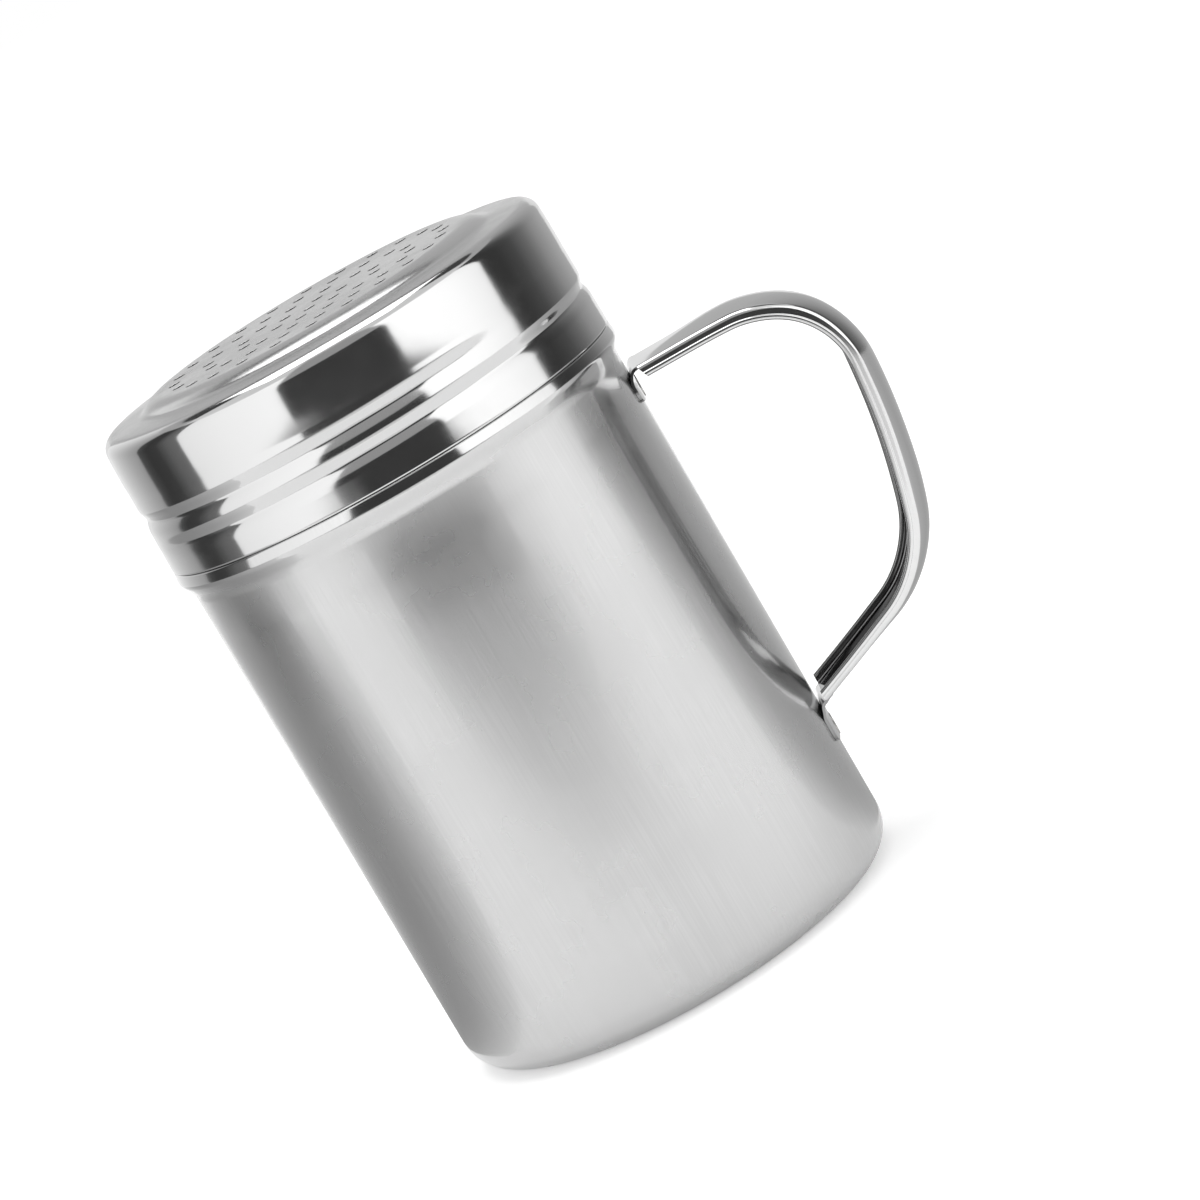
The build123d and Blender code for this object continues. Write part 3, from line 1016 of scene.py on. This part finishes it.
def card(name, start, end, low, high, taper, levels):
    """A card swept round the object between two azimuths and two (radius, height) edges."""
    middle = (start + end) / 2
    bm = bmesh.new()
    glow = bm.verts.layers.float.new("glow")
    corners = [bm.verts.new((radius, 0, z)) for radius, z in (low, high)]
    edge = bm.edges.new(corners)
    sweep = math.radians(end - start)
    bmesh.ops.spin(
        bm,
        geom=corners + [edge],
        cent=(0, 0, 0),
        axis=(0, 0, 1),
        angle=sweep,
        steps=CARD_STEPS,
    )
    for vert in bm.verts:
        share = math.atan2(vert.co.y, vert.co.x) % TAU / sweep
        vert[glow] = level_at(levels, share)
        radius = math.hypot(vert.co.x, vert.co.y)
        place = Vector((radius, vert.co.z))
        at_high = (place - Vector(high)).length < (place - Vector(low)).length
        turned = middle + (start + (end - start) * share - middle) * (taper if at_high else 1.0)
        side = toward_camera(math.radians(turned))
        vert.co.x = side.x * radius
        vert.co.y = side.y * radius
    mesh = bpy.data.meshes.new(name)
    bm.to_mesh(mesh)
    bm.free()
    mesh.materials.append(CARD_GLOW)
    panel = bpy.data.objects.new(name, mesh)
    bpy.context.collection.objects.link(panel)
    panel.visible_camera = False
    panel.visible_diffuse = False
    panel.visible_shadow = False


def softbox(name, azimuth, elevation, distance, width, height, radiance, in_metal):
    """A rectangular lamp that faces the object, set by how bright its face is."""
    data = bpy.data.lights.new(name, "AREA")
    data.shape = "RECTANGLE"
    data.size = width
    data.size_y = height
    data.energy = radiance * math.pi * width * height
    lamp = bpy.data.objects.new(name, data)
    bpy.context.collection.objects.link(lamp)
    toward = toward_camera(math.radians(azimuth), math.radians(elevation))
    lamp.location = toward * distance + Vector((0, 0, SOFTBOX_AIM_HEIGHT))
    lamp.rotation_euler = toward.to_track_quat("Z", "Y").to_euler()
    lamp.visible_glossy = in_metal


def make_floor():
    """A plain white table top, larger than any view of it."""
    bm = bmesh.new()
    bmesh.ops.create_grid(bm, x_segments=1, y_segments=1, size=FLOOR_REACH)
    mesh = bpy.data.meshes.new("floor")
    bm.to_mesh(mesh)
    bm.free()
    mesh.materials.append(white_for_background("white_table", (0.8, 0.8, 0.8), 0.38, 0.15))
    floor = bpy.data.objects.new("floor", mesh)
    bpy.context.collection.objects.link(floor)


def make_world():
    """An even pale room: white behind the object, a little darker as its light."""
    world = bpy.data.worlds.new("pale_room")
    bpy.context.scene.world = world
    world.use_nodes = True
    tree = world.node_tree
    path = add_node(tree, "ShaderNodeLightPath")
    background = tree.nodes["Background"]
    background.inputs["Color"].default_value = (1, 1, 1, 1)
    level = ramp(tree, path.outputs["Is Camera Ray"], 0.0, 1.0, 0.85, 1.0, smooth=False)
    tree.links.new(level, background.inputs["Strength"])


def make_studio():
    """The table, the room, three softboxes and the cards that shape the reflections."""
    make_floor()
    make_world()
    for name, settings in SOFTBOXES.items():
        softbox(name, *settings)
    for name, (start, end, radius, foot, top, taper, levels) in STANDING_CARDS.items():
        card(name, start, end, (radius, foot), (radius, top), taper, levels)
    for name, (start, end, first, second, taper, levels) in LYING_CARDS.items():
        card(name, start, end, (first, CARD_LIFT), (second, CARD_LIFT), taper, levels)


# ---------------------------------------------------------------- assembly
def dress(piece, material):
    """Give a piece its one material."""
    piece.data.materials.clear()
    piece.data.materials.append(material)


cup = build_cup()
dress(cup, satin_cup_steel())
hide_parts("cup")
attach(cup, "cup_with_handle")

lid = build_lid()
dress(lid, polished_lid_steel())
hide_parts("lid")
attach(lid, "screw_lid")

handle = build_handle()
dress(handle, polished_handle_steel())
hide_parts("handle")
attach(handle, "cup_with_handle")

weld_steel = fused_weld_steel()
for name in ("upper_spot_weld", "lower_spot_weld"):
    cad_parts[name].material_slots[0].material = weld_steel

make_studio()
bpy.context.scene.view_settings.view_transform = "Standard"
